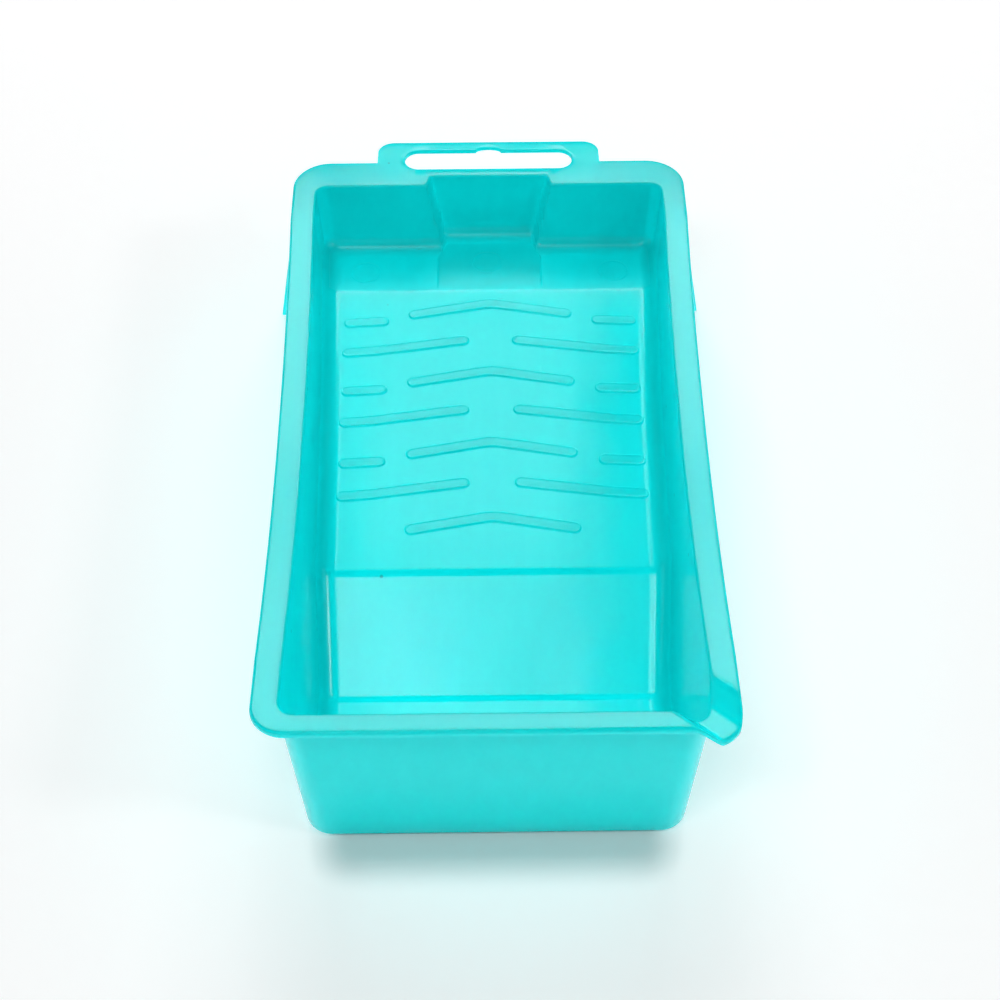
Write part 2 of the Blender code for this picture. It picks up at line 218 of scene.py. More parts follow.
def waist(y):
    """How much wider the tray is at y than at its waist."""
    t = (y - WAIST_Y) / WAIST_SPAN
    return WAIST_BOW * t * t + WAIST_LEAN * t


def rim_height(y):
    """The rim's top: level at the back, rising towards the front."""
    t = clamp01((RISE_START_Y - y) / (RISE_START_Y - RISE_END_Y))
    return RIM_Z + RIM_RISE * t * t


def floor_height(y):
    """The top face of the well, the slope, the ramp and the landing."""
    if y <= SLOPE_FOOT_Y:
        return WELL_Z
    if y <= SLOPE_HEAD_Y:
        t = (y - SLOPE_FOOT_Y) / (SLOPE_HEAD_Y - SLOPE_FOOT_Y)
        return WELL_Z + t * (SLOPE_HEAD_Z - WELL_Z)
    t = clamp01((y - SLOPE_HEAD_Y) / (LANDING_Y - SLOPE_HEAD_Y))
    return SLOPE_HEAD_Z + t * (LANDING_Z - SLOPE_HEAD_Z)


def under_height(y):
    """The under face of the floor, which rests on the ground under the well."""
    return max(0.0, floor_height(y) - FLOOR_THICK)


def bay_push(x, z, offset):
    """The extra depth of the bay in the middle of the back wall, on a face offset outwards."""
    t = clamp01((z - LANDING_Z) / (RIM_Z - LANDING_Z))
    half = BAY_HALF_FOOT + t * (BAY_HALF_TOP - BAY_HALF_FOOT)
    half += BAY_SPREAD * max(offset, 0.0)
    depth = BAY_DEPTH_FOOT + t * (BAY_DEPTH_TOP - BAY_DEPTH_FOOT)
    return depth * smooth((half + BAY_SIDE / 2 - abs(x)) / BAY_SIDE)


def tab_push(x):
    """How far the hanging tab's outline stands out from the back flange."""
    if abs(x) > TAB_HALF:
        return 0.0
    inset = max(0.0, abs(x) - (TAB_HALF - TAB_RADIUS))
    return TAB_LENGTH - TAB_RADIUS + math.sqrt(TAB_RADIUS**2 - inset**2)


def spout_weight(x, y):
    """1 on the spout's floor at the front right corner, 0 beyond the tops of its sides."""
    across = abs((x + y) / math.sqrt(2) - SPOUT_AXIS / math.sqrt(2))
    if x - y < SPOUT_BEHIND:
        return 0.0
    return eased((SPOUT_TOP_HALF - across) / (SPOUT_TOP_HALF - SPOUT_FLOOR_HALF))


def spouted(make, share=1.0, nose=0.0):
    """A loop with the spout pressed into it; make(dip) gives the loop lowered by dip."""
    plain = make(0.0)
    low = make(SPOUT_DIP * share)
    points = []
    for a, b in zip(plain, low):
        w = spout_weight(a[0], a[1])
        out = nose * w / math.sqrt(2)
        x, y, z = (p + w * (q - p) for p, q in zip(a, b))
        points.append((x + out, y - out, z))
    return points


def arc(cx, cy, radius, start):
    """A quarter circle of points, anticlockwise from an angle."""
    steps = [start + math.pi / 2 * k / CORNER_STEPS for k in range(CORNER_STEPS + 1)]
    return [(cx + radius * math.cos(a), cy + radius * math.sin(a)) for a in steps]


def settled(distance, height, y):
    """The y of a leaning end wall, at the height that a loop has there."""
    for _ in range(4):
        y = distance(height(y))
    return y


def ring(half, front, back, radii, height, back_push=None):
    """One closed loop of points round the tray, anticlockwise from the front right.

    half, front and back give the loop's three distances at a height, and
    height gives z at a point's y, so that the loop follows the floor or the rim.
    """
    rf, rb = (max(r, LEAST_RADIUS) for r in radii)
    rows = [y * MM for y in SIDE_ROWS]
    columns = [x * MM for x in END_COLUMNS]
    front_y = settled(front, height, rows[0])
    back_y = settled(back, height, rows[-1])
    zb = height(back_y)
    xf = half(height(front_y + rf)) + waist(rows[0]) - rf
    xb = half(zb) + waist(rows[-1]) - rb
    rows = (
        [front_y + rf + t * (rows[0] - front_y - rf) for t in BLEND]
        + rows
        + [rows[-1] + t * (back_y - rb - rows[-1]) for t in BLEND]
    )

    def end(x_last):
        right = columns + [columns[-1] + t * (x_last - columns[-1]) for t in BLEND]
        return [-x for x in reversed(right[1:])] + right

    def side(y):
        return half(height(y)) + waist(min(max(y, SIDE_ROWS[0] * MM), SIDE_ROWS[-1] * MM))

    def push(x):
        return back_push(x, zb) if back_push else 0.0

    points = [(side(y), y) for y in rows]
    points += arc(xb, back_y - rb, rb, 0)
    points += [(x, back_y + push(x)) for x in reversed(end(xb))]
    points += arc(-xb, back_y - rb, rb, math.pi / 2)
    points += [(-side(y), y) for y in reversed(rows)]
    points += arc(-xf, front_y + rf, rf, math.pi)
    points += [(x, front_y) for x in end(xf)]
    points += arc(xf, front_y + rf, rf, math.pi * 3 / 2)
    return [(x, y, height(y)) for x, y in points]


def wall_ring(offset, height, gain=0.0):
    """A loop on the drafted wall, offset outwards from the inner face.

    The outer face leans out by gain less or more than the inner one, and its corners
    are rounder. Towards the floor the inner corners close up a little.
    """
    turn = max(offset, 0.0) + FLOOR_CORNER_SHARE * min(offset, 0.0)
    if gain:
        turn += OUTER_CORNER_GAIN
    return ring(
        lambda z: HALF_FLOOR + z * (DRAFT + gain) + offset,
        lambda z: FRONT_Y - z * FRONT_DRAFT - offset,
        lambda z: BACK_Y + z * BACK_DRAFT + offset,
        (FRONT_RADIUS + turn, BACK_RADIUS + turn),
        height,
        lambda x, z: bay_push(x, z, offset),
    )


def outline_ring(inset, height):
    """A loop on the flange's outer outline."""
    inner_back = BACK_Y + RIM_Z * BACK_DRAFT
    return ring(
        lambda z: HALF_FLOOR + RIM_Z * DRAFT + SIDE_FLANGE - inset,
        lambda z: FRONT_Y - RIM_Z * FRONT_DRAFT - FRONT_FLANGE + inset,
        lambda z: inner_back + BACK_FLANGE - inset,
        (FRONT_FLANGE_RADIUS - inset, BACK_FLANGE_RADIUS - inset),
        height,
        lambda x, z: tab_push(x),
    )


def mixed(a, b, share):
    """The loop that lies between two loops, at a share of the way from a to b."""
    return [tuple(p + share * (q - p) for p, q in zip(u, v)) for u, v in zip(a, b)]


def rim(drop, dip):
    """The height function of a loop that follows the rim from below."""
    return lambda y: rim_height(y) - drop - dip


def quarter(steps):
    """The angles of a quarter turn."""
    return [math.pi / 2 * k / steps for k in range(steps + 1)]


def wall_loops(offset, floor, base, top_drop, shares, gain=0.0):
    """The wall's loops from its floor fillet up to the rim."""
    loops = []
    for share in shares:
        def make(dip, share=share):
            def height(y):
                low = floor(y) + base
                return low + share * (rim_height(y) - top_drop - low) - dip
            return wall_ring(offset, height, gain)
        loops.append(spouted(make, share))
    return loops


def fillet_loops(offset, radius, floor, steps, gain=0.0):
    """Loops round the fillet between the floor and the wall, from the floor up."""
    loops = []
    for a in reversed(quarter(steps)):
        inward = radius * (1 - math.cos(a))
        rise = radius * (1 - math.sin(a))
        loops.append(wall_ring(offset - inward, lambda y, rise=rise: floor(y) + rise, gain))
    return loops


def rim_loops():
    """The inner edge's rounding, the flange, its lip and its under face."""
    loops = []
    for a in quarter(5)[1:]:
        offset = RIM_ROUND * (1 - math.cos(a))
        drop = RIM_ROUND * (1 - math.sin(a))
        loops.append(spouted(lambda dip: wall_ring(offset, rim(drop, dip))))
    for share in (0.06, 0.2, 0.35, 0.5, 0.65, 0.8, 0.94, 1.0):
        def top(dip, share=share):
            inner = wall_ring(RIM_ROUND, rim(0.0, dip))
            outer = outline_ring(LIP_ROUND, rim(0.0, dip))
            return mixed(inner, outer, share)
        loops.append(spouted(top, nose=SPOUT_NOSE * share))
    for a in quarter(4)[1:]:
        inset = LIP_ROUND * (1 - math.sin(a))
        drop = LIP_ROUND * (1 - math.cos(a))
        loops.append(spouted(lambda dip: outline_ring(inset, rim(drop, dip)), nose=SPOUT_NOSE))
    for a in quarter(2):
        inset = LIP_FOOT_ROUND * (1 - math.cos(a))
        drop = LIP_DROP - LIP_FOOT_ROUND * (1 - math.sin(a))
        loops.append(spouted(lambda dip: outline_ring(inset, rim(drop, dip)), nose=SPOUT_NOSE))
    for inset, drop in ((LIP_FOOT_WIDTH, LIP_DROP), (LIP_WIDTH, FLANGE_THICK)):
        loops.append(spouted(lambda dip: outline_ring(inset, rim(drop, dip)), nose=SPOUT_NOSE))
    for share in (0.8, 0.6, 0.4, 0.2, 0.0):
        def under(dip, share=share):
            inner = wall_ring(WALL + UNDER_ROUND, rim(FLANGE_THICK, dip), WALL_GAIN)
            outer = outline_ring(LIP_WIDTH, rim(FLANGE_THICK, dip))
            return mixed(inner, outer, share)
        loops.append(spouted(under, nose=SPOUT_NOSE * share))
    for a in quarter(3)[1:]:
        offset = WALL + UNDER_ROUND * (1 - math.sin(a))
        drop = FLANGE_THICK + UNDER_ROUND * (1 - math.cos(a))
        loops.append(spouted(lambda dip: wall_ring(offset, rim(drop, dip), WALL_GAIN)))
    return loops


def shell_loops():
    """All the loops from the floor's edge, up the inside, over the rim and down."""
    shares = (0.06, 0.15, 0.25, 0.37, 0.5, 0.62, 0.73, 0.82, 0.9, 0.96, 1.0)
    loops = fillet_loops(0.0, FILLET, floor_height, 12)
    loops += wall_loops(0.0, floor_height, FILLET, RIM_ROUND, shares)
    loops += rim_loops()
    drop = FLANGE_THICK + UNDER_ROUND
    loops += wall_loops(WALL, under_height, BASE_FILLET, drop, shares, WALL_GAIN)[-2::-1]
    loops += fillet_loops(WALL, BASE_FILLET, under_height, 5, WALL_GAIN)[::-1]
    return loops


def add_floor(bm, loop, height, upward):
    """Fills a loop with a grid of rows and columns that follow the floor's shape."""
    half = CORNER_STEPS // 2
    rows = len(SIDE_ROWS) + 2 * len(BLEND)
    columns = 2 * (len(END_COLUMNS) + len(BLEND)) - 1
    arc_points = CORNER_STEPS + 1
    right = list(range(rows + half + 1))
    back = list(range(right[-1], right[-1] + half + columns + half + 2))
    left = list(range(back[-1], back[-1] + half + rows + half + 2))
    front = list(range(left[-1], left[-1] + half + columns + half + 2))
    total = 2 * (rows + columns) + 4 * arc_points
    right = [total - half - 1 + k for k in range(half + 1)] + right
    front_row = [loop[i % total] for i in front]
    back_row = [loop[i % total] for i in reversed(back)]
    left_side = [loop[i % total] for i in reversed(left)]
    right_side = [loop[i % total] for i in right]
    count_x, count_y = len(front_row), len(right_side)
    edge = half + 1
    grid = [[None] * count_x for _ in range(count_y)]
    grid[0], grid[-1] = front_row, back_row
    for i in range(1, count_y - 1):
        grid[i][0], grid[i][-1] = left_side[i], right_side[i]
        for j in range(1, count_x - 1):
            jj = min(max(j, edge), count_x - 1 - edge)
            ii = min(max(i, edge), count_y - 1 - edge)
            x = front_row[jj].co.x
            y = right_side[ii].co.y
            if j != jj:
                outer = right_side[i] if j > jj else left_side[i]
                x += (outer.co.x - x) * abs(j - jj) / edge
            if i != ii:
                outer = back_row[j] if i > ii else front_row[j]
                y += (outer.co.y - y) * abs(i - ii) / edge
            grid[i][j] = bm.verts.new((x, y, height(y)))
    for i in range(count_y - 1):
        for j in range(count_x - 1):
            quad = [grid[i][j], grid[i][j + 1], grid[i + 1][j + 1], grid[i + 1][j]]
            bm.faces.new(quad if upward else quad[::-1])


def build_shell(bm):
    loops = [[bm.verts.new(p) for p in loop] for loop in shell_loops()]
    for low, high in zip(loops, loops[1:]):
        for k in range(len(low)):
            n = (k + 1) % len(low)
            bm.faces.new((low[k], high[k], high[n], low[n]))
    add_floor(bm, loops[0], floor_height, True)
    add_floor(bm, loops[-1], under_height, False)


def strip_mask(x, y):
    """1 on the raised strip of the landing that leads into the bay."""
    if y < SLOPE_HEAD_Y:
        return 0.0
    return smooth((STRIP_HALF + STRIP_EDGE / 2 - abs(x)) / STRIP_EDGE)


def floor_top(x, y):
    """The floor's top face, with the middle of the ramp running on a little further."""
    t = clamp01((y - LANDING_Y) / (STRIP_Y - LANDING_Y))
    return floor_height(y) + STRIP_RISE * t * strip_mask(x, y)


def bar_outline(path, half, steps):
    """The outline of a bar with round ends along a path of points."""
    outline = []
    for run in (path, path[::-1]):
        for k, (x, y) in enumerate(run):
            before = run[max(k - 1, 0)]
            after = run[min(k + 1, len(run) - 1)]
            heading = math.atan2(after[1] - before[1], after[0] - before[0])
            turns = [0.0]
            if k == 0:
                turns = [-math.pi / 2 * (steps - n) / steps for n in range(1, steps + 1)]
            elif k == len(run) - 1:
                turns = [math.pi / 2 * n / steps for n in range(steps)]
            for turn in turns:
                a = heading - math.pi / 2 + turn
                outline.append((x + half * math.cos(a), y + half * math.sin(a)))
    return outline


def rounded_path(points, reach, steps):
    """A path whose inner corners are eased over a short reach, with points along it."""
    path = [Vector(points[0])]
    for before, corner, after in zip(points, points[1:], points[2:]):
        a = Vector(corner) + (Vector(before) - Vector(corner)).normalized() * reach
        b = Vector(corner) + (Vector(after) - Vector(corner)).normalized() * reach
        c = Vector(corner)
        for k in range(steps + 1):
            t = k / steps
            path.append((1 - t) ** 2 * a + 2 * t * (1 - t) * c + t * t * b)
    path.append(Vector(points[-1]))
    dense = []
    for a, b in zip(path, path[1:]):
        count = max(1, int((b - a).length / PATH_STEP))
        dense += [a + (b - a) * k / count for k in range(count)]
    dense.append(path[-1])
    return [(p.x, p.y) for p in dense]


def rib_paths():
    """The ribs' centre lines: chevrons in every second row, long and short ribs beside."""
    paths = []
    for row in range(RIB_ROWS):
        y = RIB_ROW_Y - row * RIB_PITCH
        chevron_row = row % 2 == 0
        if chevron_row:
            paths.append([(-CHEVRON_HALF, y), (0.0, y + CHEVRON_RISE), (CHEVRON_HALF, y)])
        if row == RIB_ROWS - 1:
            continue
        spans = (SHORT_INNER, SHORT_OUTER) if chevron_row else (LONG_INNER, LONG_BEND, LONG_OUTER)
        for s in (-1, 1):
            run = [(s * x, y + rise) for x, rise in spans]
            paths.append(run if s > 0 else run[::-1])
    return paths


def skin(bm, loops):
    """Quads between closed loops that follow each other upwards or inwards."""
    for low, high in zip(loops, loops[1:]):
        for k in range(len(low)):
            n = (k + 1) % len(low)
            bm.faces.new((low[k], low[n], high[n], high[k]))


def build_rib(bm, points):
    """One rib: a low flat bar with steep sides, its edge a trace higher than its middle."""
    half = RIB_WIDTH / 2
    path = rounded_path(points, RIB_BEND_REACH, 4)
    loops = []
    for inset, share in RIB_SECTION:
        outline = bar_outline(path, half - inset * MM, 6)
        lift = RIB_HEIGHT * share
        loops.append([bm.verts.new((x, y, floor_height(y) + lift)) for x, y in outline])
    skin(bm, loops)
    bm.faces.new(loops[-1])


def build_strip(bm):
    """The middle of the ramp, which runs on past the landing's edge and into the bay."""
    foot_y = BACK_Y + LANDING_Z * BACK_DRAFT
    narrow = BAY_HALF_FOOT - 1.0 * MM
    rows = [LANDING_Y - 1.2 * MM, LANDING_Y, LANDING_Y + 2.5 * MM, STRIP_Y, STRIP_Y + 4 * MM]
    rows += [foot_y - 12 * MM, foot_y - 7 * MM, foot_y - 3 * MM, foot_y + 1 * MM]
    edge = 0.6 * MM
    lines = []
    for y in rows:
        t = clamp01((y - LANDING_Y) / (STRIP_Y - LANDING_Y))
        rise = STRIP_RISE * t - 0.06 * MM * (1 - t)
        near = clamp01((y - foot_y + 7 * MM) / (7 * MM))
        half = STRIP_HALF + (narrow - STRIP_HALF) * near * near
        section = [(half + edge, -0.15 * MM), (half + edge / 3, 0.2 * rise)]
        section += [(half - edge / 3, 0.9 * rise), (half - edge, rise)]
        section += [(half * 0.6, rise), (half * 0.3, rise)]
        points = [(-x, lift) for x, lift in section] + [(0.0, rise)] + section[::-1]
        lines.append([bm.verts.new((x, y, floor_height(y) + lift)) for x, lift in points])
    for near_line, far_line in zip(lines, lines[1:]):
        for k in range(len(near_line) - 1):
            bm.faces.new((near_line[k], near_line[k + 1], far_line[k + 1], far_line[k]))


def build_pin_mark(bm, cx, cy):
    """The shallow round witness line that an ejector pin leaves."""
    loops = []
    for radius, lift in PIN_SECTION:
        points = []
        for k in range(PIN_SIDES):
            a = 2 * math.pi * k / PIN_SIDES
            x = cx + radius * MM * math.cos(a)
            y = cy + radius * MM * math.sin(a)
            points.append(bm.verts.new((x, y, floor_top(cx, cy) + lift * MM)))
        loops.append(points)
    skin(bm, loops)
    bm.faces.new(loops[-1])


def leg_line(low, inset):
    """A leg's plan line at the top or at the foot, from the side round to the back."""
    spread = LEG_SPLAY * low
    half = LEG_TOP_HALF + spread - inset
    back = LEG_TOP_BACK_Y + spread - inset
    radius = LEG_RADIUS + spread / 2 - inset
    start = LEG_FRONT_TOP_Y + (LEG_FRONT_FOOT_Y - LEG_FRONT_TOP_Y) * low
    end = LEG_END_TOP_X + (LEG_END_FOOT_X - LEG_END_TOP_X) * low
    corner_y = back - radius
    points = [(half, start + (corner_y - start) * k / 4) for k in range(4)]
    points += arc(half - radius, corner_y, radius, 0)
    points += [(half - radius + (end - half + radius) * k / 6, back) for k in range(1, 7)]
    return points


def build_leg(bm, side):
    """One splayed leg: a curved strip under the flange round a back corner."""
    top = RIM_Z - FLANGE_THICK / 2
    lows = [k / LEG_LEVELS for k in range(LEG_LEVELS)] + [1.0 - LEG_EDGE / top]
    levels = [(low, 0.0) for low in lows] + [(1.0, LEG_EDGE), (1.0, LEG_WALL - LEG_EDGE)]
    levels += [(low, LEG_WALL) for low in reversed(lows)]
    lines = [[(x, y, top * (1 - low)) for x, y in leg_line(low, inset)] for low, inset in levels]
    verts = [[bm.verts.new((side * x, y, z)) for x, y, z in line] for line in lines]
    for k in range(len(verts)):
        a, b = verts[k], verts[(k + 1) % len(verts)]
        for n in range(len(a) - 1):
            quad = (a[n], b[n], b[n + 1], a[n + 1])
            bm.faces.new(quad[::-1] if side > 0 else quad)
    first = [line[0] for line in verts]
    last = [line[-1] for line in verts]
    bm.faces.new(first if side > 0 else first[::-1])
    bm.faces.new(last[::-1] if side > 0 else last)


def slot_outline(grow):
    """The hanging slot, with a notch for a peg in the middle of its far side."""
    radius = (SLOT_FAR_Y - SLOT_NEAR_Y) / 2 + grow
    middle = (SLOT_FAR_Y + SLOT_NEAR_Y) / 2
    inner = SLOT_HALF - (SLOT_FAR_Y - SLOT_NEAR_Y) / 2
    outline = arc(inner, middle, radius, -math.pi / 2)
    outline += arc(inner, middle, radius, 0)[1:]
    notch = NOTCH_HALF + grow
    for k in range(17):
        a = math.pi * k / 16
        bulge = NOTCH_RISE * math.sin(a)
        outline.append((notch * math.cos(a), SLOT_FAR_Y + grow + bulge))
    outline += arc(-inner, middle, radius, math.pi / 2)
    outline += arc(-inner, middle, radius, math.pi)[1:]
    return outline


def build_slot(bm):
    """The slot's cutter, flared at both faces so that the slot's edges come out rounded."""
    r = SLOT_ROUND
    top, bottom = RIM_Z, RIM_Z - FLANGE_THICK
    levels = [(bottom - SLOT_OVERCUT, r)]
    levels += [(bottom + r * (1 - math.cos(a)) * 0.7, r * (1 - math.sin(a))) for a in quarter(4)]
    levels += [(top - r * (1 - math.sin(a)), r * (1 - math.cos(a))) for a in quarter(4)]
    levels += [(top + SLOT_OVERCUT, r)]
    loops = [[bm.verts.new((x, y, z)) for x, y in slot_outline(grow)] for z, grow in levels]
    skin(bm, loops)
    bm.faces.new(loops[0][::-1])
    bm.faces.new(loops[-1])


def mesh_object(name, build):
    bm = bmesh.new()
    build(bm)
    bm.normal_update()
    mesh = bpy.data.meshes.new(name)
    bm.to_mesh(mesh)
    bm.free()
    obj = bpy.data.objects.new(name, mesh)
    bpy.context.scene.collection.objects.link(obj)
    return obj


def build_details(bm):
    for points in rib_paths():
        build_rib(bm, points)
    build_strip(bm)
    for cx, cy in PIN_MARKS:
        build_pin_mark(bm, cx, cy)
    build_leg(bm, 1)
    build_leg(bm, -1)


def build_tray():
    """The shell with its slot cut through the tab, and the ribs, marks and legs on it."""
    shell = mesh_object("tray_shell", build_shell)
    cutter = mesh_object("slot_cutter", build_slot)
    cut = shell.modifiers.new("slot", "BOOLEAN")
    cut.object = cutter
    cut.operation = "DIFFERENCE"
    cut.solver = "EXACT"
    graph = bpy.context.evaluated_depsgraph_get()
    mesh = bpy.data.meshes.new_from_object(shell.evaluated_get(graph))
    details = mesh_object("tray_details", build_details)
    bm = bmesh.new()
    bm.from_mesh(mesh)
    bm.from_mesh(details.data)
    bm.to_mesh(mesh)
    bm.free()
    for obj in (shell, cutter, details):
        bpy.data.objects.remove(obj)
    mesh.name = "roller_tray"
    tray = bpy.data.objects.new("roller_tray", mesh)
    bpy.context.scene.collection.objects.link(tray)
    mesh.shade_smooth()
    mesh.set_sharp_from_angle(angle=SHARP_ANGLE)
    return tray


class Tree:
    """A small helper that adds nodes to one material and links them."""

    def __init__(self, material):
        material.use_nodes = True
        self.nodes = material.node_tree.nodes
        self.links = material.node_tree.links
        self.shader = self.nodes["Principled BSDF"]

    def add(self, kind, inputs=None, **settings):
        node = self.nodes.new("ShaderNode" + kind)
        for key, value in settings.items():
            setattr(node, key, value)
        for socket, value in (inputs or {}).items():
            if isinstance(value, bpy.types.NodeSocket):
                self.links.new(value, node.inputs[socket])
            else:
                node.inputs[socket].default_value = value
        return node

    def math(self, operation, a, b=0.0, clamp=False):
        return self.add("Math", {0: a, 1: b}, operation=operation, use_clamp=clamp).outputs[0]

    def vector(self, operation, a, b=(0.0, 0.0, 0.0)):
        return self.add("VectorMath", {0: a, 1: b}, operation=operation).outputs[0]

    def noise(self, coordinates, scale, detail=2.0, roughness=0.5, distortion=0.0):
        inputs = {"Vector": coordinates, "Scale": scale, "Detail": detail}
        inputs["Roughness"] = roughness
        inputs["Distortion"] = distortion
        return self.add("TexNoise", inputs).outputs["Fac"]

    def stretched(self, coordinates, scale):
        return self.add("Mapping", {"Vector": coordinates, "Scale": scale}).outputs[0]

    def ramp(self, value, low, high, to_low=0.0, to_high=1.0):
        inputs = {0: value, 1: low, 2: high, 3: to_low, 4: to_high}
        return self.add("MapRange", inputs, interpolation_type="SMOOTHSTEP").outputs[0]

    def mix(self, share, a, b):
        inputs = {0: share, 6: a, 7: b}
        return self.add("Mix", inputs, data_type="RGBA").outputs[2]


def plastic():
    """Glossy turquoise polypropylene: cloudy pigment, flow lines, worn edges, fine scratches."""
    material = bpy.data.materials.new("turquoise_polypropylene")
    tree = Tree(material)
    place = tree.add("TexCoord").outputs["Object"]

    # Pigment: broad clouds and faint streaks along the flow of the melt
    clouds = tree.noise(place, 14.0, 3.0, 0.55, 0.4)
    streaks = tree.noise(tree.stretched(place, (150.0, 9.0, 60.0)), 1.0, 3.0, 0.6, 0.3)
    cloudy = tree.ramp(clouds, 0.3, 0.7)
    streaky = tree.ramp(streaks, 0.35, 0.75)
    base = tree.mix(cloudy, PIGMENT_DEEP, PIGMENT)
    base = tree.mix(tree.math("MULTIPLY", streaky, 0.35), base, PIGMENT_PALE)

    # Handling wear: convex edges rubbed a little paler and duller, in patches
    edge = tree.ramp(tree.add("NewGeometry").outputs["Pointiness"], 0.52, 0.62)
    patches = tree.ramp(tree.noise(place, 60.0, 4.0, 0.6), 0.42, 0.68)
    wear = tree.math("MULTIPLY", edge, patches)
    base = tree.mix(tree.math("MULTIPLY", wear, 0.3), base, WORN)

    # A few specks of dust and pigment
    cells = tree.add("TexVoronoi", {"Vector": place, "Scale": 75.0})
    dot = tree.ramp(cells.outputs["Distance"], 0.035, 0.065, 1.0, 0.0)
    lot = tree.add("SeparateColor", {0: cells.outputs["Color"]}).outputs["Red"]
    chosen = tree.ramp(lot, 0.86, 0.88)
    speck = tree.math("MULTIPLY", dot, chosen)
    base = tree.mix(tree.math("MULTIPLY", speck, 0.45), base, SPECK)
    tree.links.new(base, tree.shader.inputs["Base Color"])

    # Hairline scratches in two directions, only here and there
    fine_a = tree.noise(tree.stretched(place, (900.0, 26.0, 300.0)), 1.0, 2.0, 0.5)
    fine_b = tree.noise(tree.stretched(place, (40.0, 1100.0, 300.0)), 1.0, 2.0, 0.5, 0.6)
    lines = tree.math("MAXIMUM", tree.ramp(fine_a, 0.66, 0.74), tree.ramp(fine_b, 0.68, 0.76))
    scratched = tree.math("MULTIPLY", lines, tree.ramp(tree.noise(place, 30.0, 2.0), 0.5, 0.7))

    # Gloss: polished mould, duller where streaked, worn or scratched, and on the landing
    gloss = tree.ramp(tree.noise(place, 24.0, 4.0, 0.6), 0.3, 0.7, GLOSS_LOW, GLOSS_HIGH)
    gloss = tree.math("ADD", gloss, tree.math("MULTIPLY", streaky, 0.03))
    gloss = tree.math("ADD", gloss, tree.math("MULTIPLY", wear, 0.12))
    gloss = tree.math("ADD", gloss, tree.math("MULTIPLY", scratched, 0.15))
    axes = tree.add("SeparateXYZ", {0: place}).outputs
    behind = tree.ramp(axes["Y"], LANDING_Y - 0.3 * MM, LANDING_Y + 0.7 * MM)
    low = tree.ramp(axes["Z"], LANDING_Z + 1.0 * MM, LANDING_Z + 3.5 * MM, 1.0, 0.0)
    landing = tree.math("MULTIPLY", behind, low)
    gloss = tree.math("ADD", gloss, tree.math("MULTIPLY", landing, 0.24), clamp=True)
    tree.links.new(gloss, tree.shader.inputs["Roughness"])

    # Relief: slow shrinkage waves, orange peel and the scratches
    waves = tree.noise(place, 34.0, 2.0, 0.5)
    peel = tree.noise(place, 620.0, 2.0, 0.5)
    relief = tree.add("Bump", {"Height": waves, "Strength": 0.5, "Distance": 0.00035})
    relief = tree.add(
        "Bump",
        {"Height": peel, "Strength": 0.25, "Distance": 0.00002, "Normal": relief.outputs[0]},
    )
    relief = tree.add(
        "Bump",
        {"Height": scratched, "Strength": 0.4, "Distance": -0.00002, "Normal": relief.outputs[0]},
    )
    tree.links.new(relief.outputs[0], tree.shader.inputs["Normal"])
    tree.shader.subsurface_method = "BURLEY"
    tree.shader.inputs["Subsurface Weight"].default_value = 0.8
    tree.shader.inputs["Subsurface Radius"].default_value = (0.3, 1.0, 1.0)
    tree.shader.inputs["Subsurface Scale"].default_value = 0.005
    tree.shader.inputs["IOR"].default_value = 1.49
    tree.shader.inputs["Specular IOR Level"].default_value = 0.21
    return material


def floor_material():
    """White paper that glows like a light table, except under the front of the tray, where its glow
    is cut out to paint a contact shadow.
    """
    material = bpy.data.materials.new("white_paper")
    tree = Tree(material)
    place = tree.add("TexCoord").outputs["Object"]
    grain = tree.ramp(tree.noise(place, 160.0, 3.0, 0.6), 0.3, 0.7)
    base = tree.mix(grain, (0.925, 0.925, 0.925, 1.0), (0.94, 0.94, 0.94, 1.0))
    # Painted contact shadow: no glow in a box under the tray's front, rising to full glow a short
    # way beyond it
    beyond = tree.vector("SUBTRACT", place, PAINTED_SHADOW_MIDDLE)
    beyond = tree.vector("ABSOLUTE", beyond)
    beyond = tree.vector("SUBTRACT", beyond, PAINTED_SHADOW_HALF)
    beyond = tree.vector("MAXIMUM", beyond)
    from_painted_shadow = tree.add("VectorMath", {0: beyond}, operation="LENGTH").outputs["Value"]
    glow = tree.ramp(from_painted_shadow, PAINTED_SHADOW_EDGE, PAINTED_SHADOW_FADE_END, 0.0, GLOW)
    tree.links.new(base, tree.shader.inputs["Base Color"])
    tree.shader.inputs["Emission Color"].default_value = (1.0, 1.0, 1.0, 1.0)
    tree.links.new(glow, tree.shader.inputs["Emission Strength"])
    tree.shader.inputs["Roughness"].default_value = 0.9
    tree.shader.inputs["Specular IOR Level"].default_value = 0.1
    return material


def build_floor(bm):
    bmesh.ops.create_grid(bm, x_segments=8, y_segments=8, size=STUDIO_HALF)


def add_world():
    """Dim light from above and a paler band along the horizon, behind the floor's far edge."""
    world = bpy.data.worlds.new("studio")
    world.use_nodes = True
    nodes, links = world.node_tree.nodes, world.node_tree.links
    background = nodes["Background"]
    background.inputs["Color"].default_value = (1.0, 1.0, 1.0, 1.0)
    place = nodes.new("ShaderNodeTexCoord")
    split = nodes.new("ShaderNodeSeparateXYZ")
    fade = nodes.new("ShaderNodeMapRange")
    for name, value in HORIZON_FADE.items():
        fade.inputs[name].default_value = value
    links.new(place.outputs["Generated"], split.inputs["Vector"])
    links.new(split.outputs["Z"], fade.inputs["Value"])
    links.new(fade.outputs["Result"], background.inputs["Strength"])
    bpy.context.scene.world = world


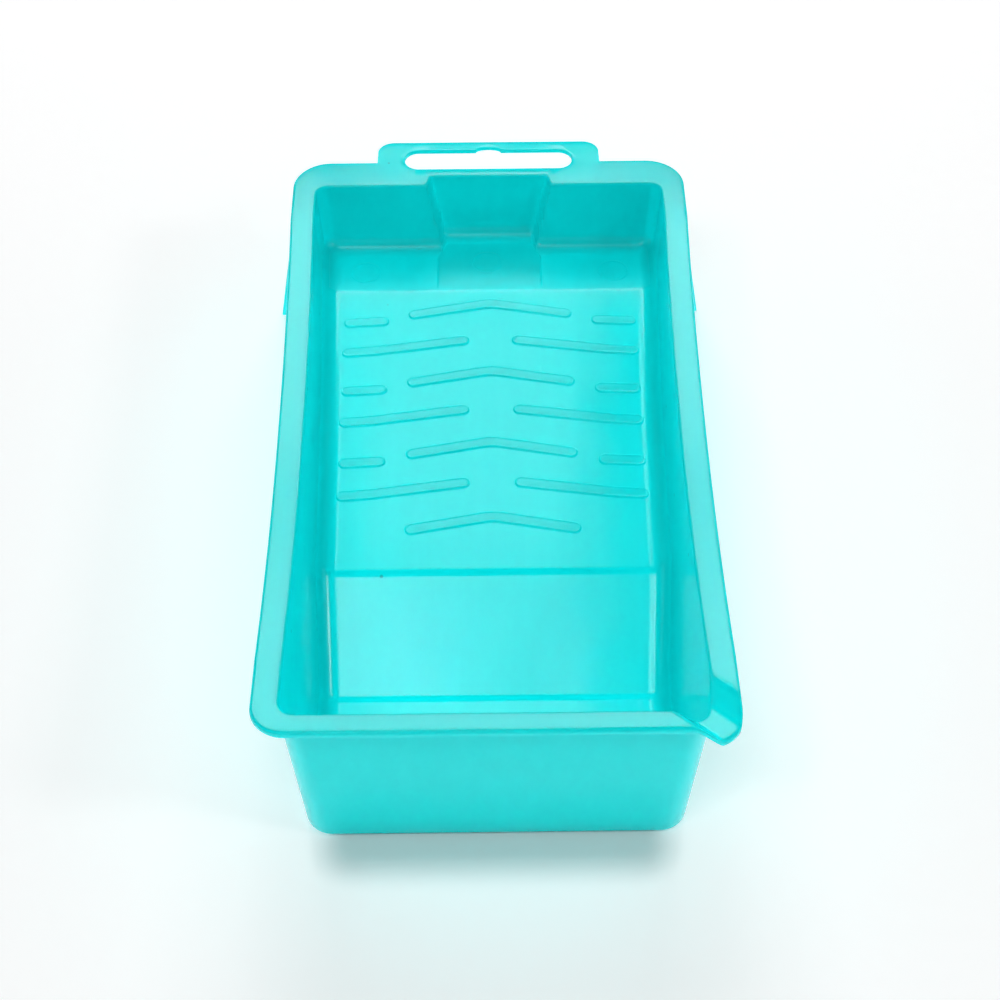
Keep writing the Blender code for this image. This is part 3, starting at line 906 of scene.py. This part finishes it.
def add_area(name, elevation, azimuth, distance, size, radiance):
    """A softbox that faces the tray from a direction; azimuth 0 is behind, 90 on the right."""
    light = bpy.data.lights.new(name, "AREA")
    light.shape = "RECTANGLE"
    light.size, light.size_y = size
    light.energy = radiance * math.pi * size[0] * size[1]
    obj = bpy.data.objects.new(name, light)
    e, a = math.radians(elevation), math.radians(azimuth)
    direction = Vector((math.sin(a) * math.cos(e), math.cos(a) * math.cos(e), math.sin(e)))
    obj.location = direction * distance
    obj.rotation_euler = direction.to_track_quat("Z", "Y").to_euler()
    bpy.context.scene.collection.objects.link(obj)


def add_panel(name, across, along, radiance):
    """A level softbox overhead, over a span of x and a span of y."""
    light = bpy.data.lights.new(name, "AREA")
    light.shape = "RECTANGLE"
    light.size = across[1] - across[0]
    light.size_y = along[1] - along[0]
    light.energy = radiance * math.pi * light.size * light.size_y
    obj = bpy.data.objects.new(name, light)
    obj.location = (sum(across) / 2, sum(along) / 2, PANEL_HEIGHT)
    bpy.context.scene.collection.objects.link(obj)


def add_camera():
    """The camera, in front of the tray and above it, turned a little to the right."""
    level = Vector((math.sin(CAMERA_YAW), math.cos(CAMERA_YAW), 0.0))
    forward = math.cos(CAMERA_PITCH) * level - math.sin(CAMERA_PITCH) * Vector((0.0, 0.0, 1.0))
    right = Vector((math.cos(CAMERA_YAW), -math.sin(CAMERA_YAW), 0.0))
    up = right.cross(forward)
    turned_right = math.cos(CAMERA_ROLL) * right + math.sin(CAMERA_ROLL) * up
    turned_up = -math.sin(CAMERA_ROLL) * right + math.cos(CAMERA_ROLL) * up
    data = bpy.data.cameras.new("camera")
    data.lens = CAMERA_LENS
    data.sensor_width = 36.0
    data.clip_start = 0.01
    data.clip_end = 20.0
    obj = bpy.data.objects.new("camera", data)
    matrix = Matrix((turned_right, turned_up, -forward)).transposed().to_4x4()
    matrix.translation = CAMERA_PLACE
    obj.matrix_world = matrix
    bpy.context.scene.collection.objects.link(obj)
    bpy.context.scene.camera = obj


tray = build_tray()
tray.data.materials.append(plastic())
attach(tray, "root")
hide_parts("tray")

paper = mesh_object("paper_floor", build_floor)
paper.data.materials.append(floor_material())

add_world()
bpy.context.scene.view_settings.view_transform = "Standard"

add_panel("ramp_softbox", (-0.14, 0.12), (0.66, 1.06), 4.4)
add_panel("ramp_softbox_left", (-0.42, -0.14), (0.66, 1.06), 1.8)
add_panel("slope_softbox", (-0.06, 0.12), (-0.96, -0.62), 4.8)
add_panel("slope_softbox_left", (-0.38, -0.06), (-0.96, -0.62), 7.8)
add_area("back_softbox", 44.5, 0, LAMP_DISTANCE, (0.85, 0.34), 6.4)
add_area("right_lamp", 42, 116, LAMP_DISTANCE, (0.2, 0.2), 15.0)
add_area("left_lamp", 57, 217, LAMP_DISTANCE, (0.13, 0.2), 16.0)
add_area("front_fill", 28, 180, FILL_DISTANCE, FILL_SIZE, 0.34)
add_area("left_fill", 24, 270, FILL_DISTANCE, FILL_SIZE, 0.68)
add_area("right_fill", 24, 90, FILL_DISTANCE, FILL_SIZE, 0.68)
add_camera()
